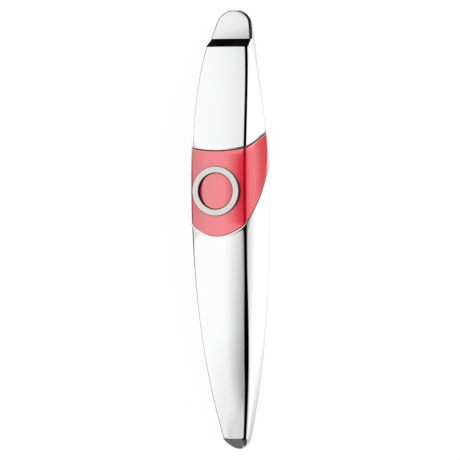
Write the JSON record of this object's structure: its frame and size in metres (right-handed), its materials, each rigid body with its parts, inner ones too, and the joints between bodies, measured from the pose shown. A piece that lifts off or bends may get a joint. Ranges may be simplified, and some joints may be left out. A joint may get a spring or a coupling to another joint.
{
  "type": "heated eye massager wand",
  "caption": "Slim battery wand with a heated metal tip and vibration motor, a coloured grip band with a round push button, and a pull-off battery cover.",
  "frame": {"origin": "centre of the bounding box's base, on the table that the wand's back rests on", "axes": "+X along the wand to the heated head, +Z out of the button face, the wand symmetric about Y = 0 outside"},
  "size_m": [0.14, 0.0226, 0.0252],
  "materials": {
    "chrome_shell": "bright chrome plating on moulded ABS",
    "red_band": "gloss translucent-look coral red",
    "red_button": "gloss coral red",
    "bezel": "satin silver",
    "heat_plate": "mirror-polished stainless steel",
    "black_trim": "satin black silicone",
    "seal": "matte dark grey",
    "white_moulding": "satin white moulding",
    "cell_jacket": "printed jacket, plain",
    "contact_metal": "nickel-plated spring brass",
    "spring_steel": "bright wire",
    "board_green": "solder mask",
    "component_black": "matte black",
    "ferrite": "matte dark grey",
    "screw_steel": "zinc plated",
    "motor_steel": "drawn steel",
    "weight_metal": "sintered",
    "boot_rubber": "matte",
    "lead_jacket": "silicone jacket",
    "film_amber": "polyimide",
    "glass_bead": "glass-coated bead"
  },
  "bodies": {
    "root": {"upper_shell": "chrome_shell", "grip_band": "red_band", "lower_seal": "seal", "upper_seal": "seal", "neck_collar": "black_trim", "head_plate": "heat_plate", "button_bezel": "bezel", "coupling_sleeve": "white_moulding", "chassis": "white_moulding", "battery_cell": "cell_jacket", "contact_spring": "spring_steel", "spring_plate": "contact_metal", "nub_plate": "contact_metal", "negative_strip": "contact_metal", "circuit_board": "board_green", "switch_body": "component_black", "control_chips": "component_black", "boost_inductor": "ferrite", "board_screws": "screw_steel", "sleeve_screws": "screw_steel", "motor_can": "motor_steel", "motor_boot": "boot_rubber", "motor_leads": "lead_jacket", "heater_leads": "lead_jacket", "heater_film": "film_amber", "insulation_pad": "black_trim", "thermistor": "glass_bead"},
    "battery_cover": {"lower_shell": "chrome_shell"},
    "button": {"button_cap": "red_button", "switch_plunger": "white_moulding"},
    "rotor": {"motor_shaft": "spring_steel", "eccentric_weight": "weight_metal"}
  },
  "joints": [
    {"name": "button_press", "type": "slide", "parent": "root", "child": "button", "axis": [0, 0, -1], "range_m": [0, 0.0006], "stiffness_N_per_m": 1000, "springref_m": -0.0004},
    {"name": "cover_slide", "type": "slide", "parent": "root", "child": "battery_cover", "axis": [-1, 0, 0], "range_m": [0, 0.078]},
    {"name": "motor_spin", "type": "hinge", "parent": "root", "child": "rotor", "pos_m": [0.052, 0, 0.0113], "axis": [1, 0, 0], "continuous": true}
  ]
}
